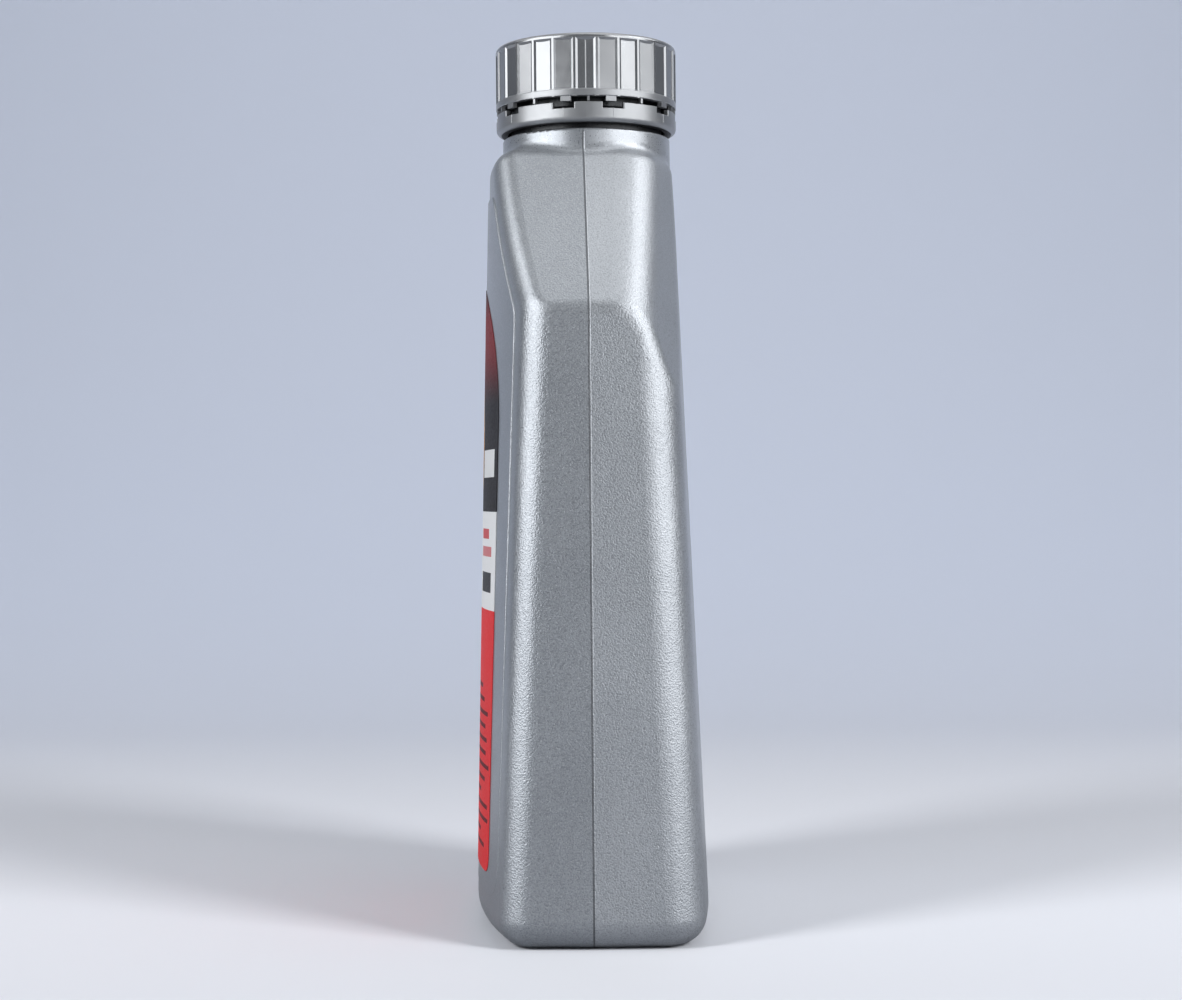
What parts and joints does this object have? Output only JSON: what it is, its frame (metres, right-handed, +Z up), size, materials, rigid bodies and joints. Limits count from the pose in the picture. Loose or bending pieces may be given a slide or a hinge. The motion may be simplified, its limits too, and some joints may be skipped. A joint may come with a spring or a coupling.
{
  "type": "motor oil bottle",
  "caption": "Flat upright plastic oil bottle with sloping shoulders, a raised label panel, a ribbed screw cap and a tamper band on the neck.",
  "frame": {"origin": "middle of the foot, on the surface that the bottle stands on", "axes": "+Z up along the neck, -Y out of the label face, X across the narrow sides"},
  "size_m": [0.115, 0.0619, 0.2345],
  "materials": {
    "bottle": "silver-grey pearl polyethylene with a fine grain",
    "closure": "silver pearl polypropylene, satin gloss",
    "label": "printed film in red, white and black fields",
    "liner": "foamed polyethylene wad"
  },
  "bodies": {
    "bottle": {"bottle": "bottle", "front_label": "label", "tamper_band": "closure"},
    "liner": {"cap_liner": "liner"},
    "cap": {"cap": "closure"}
  },
  "joints": [
    {"name": "cap_lift", "type": "slide", "parent": "bottle", "child": "liner", "axis": [0, 0, 1], "range_m": [0, 0.0241]},
    {"name": "cap_turn", "type": "hinge", "parent": "liner", "child": "cap", "pos_m": [0, 0, 0.2345], "axis": [0, 0, 1], "range_deg": [0, 1440]}
  ],
  "couplings": [
    {"joint": "cap_lift", "follows": "cap_turn", "m_per_rad": 0.00095493}
  ]
}
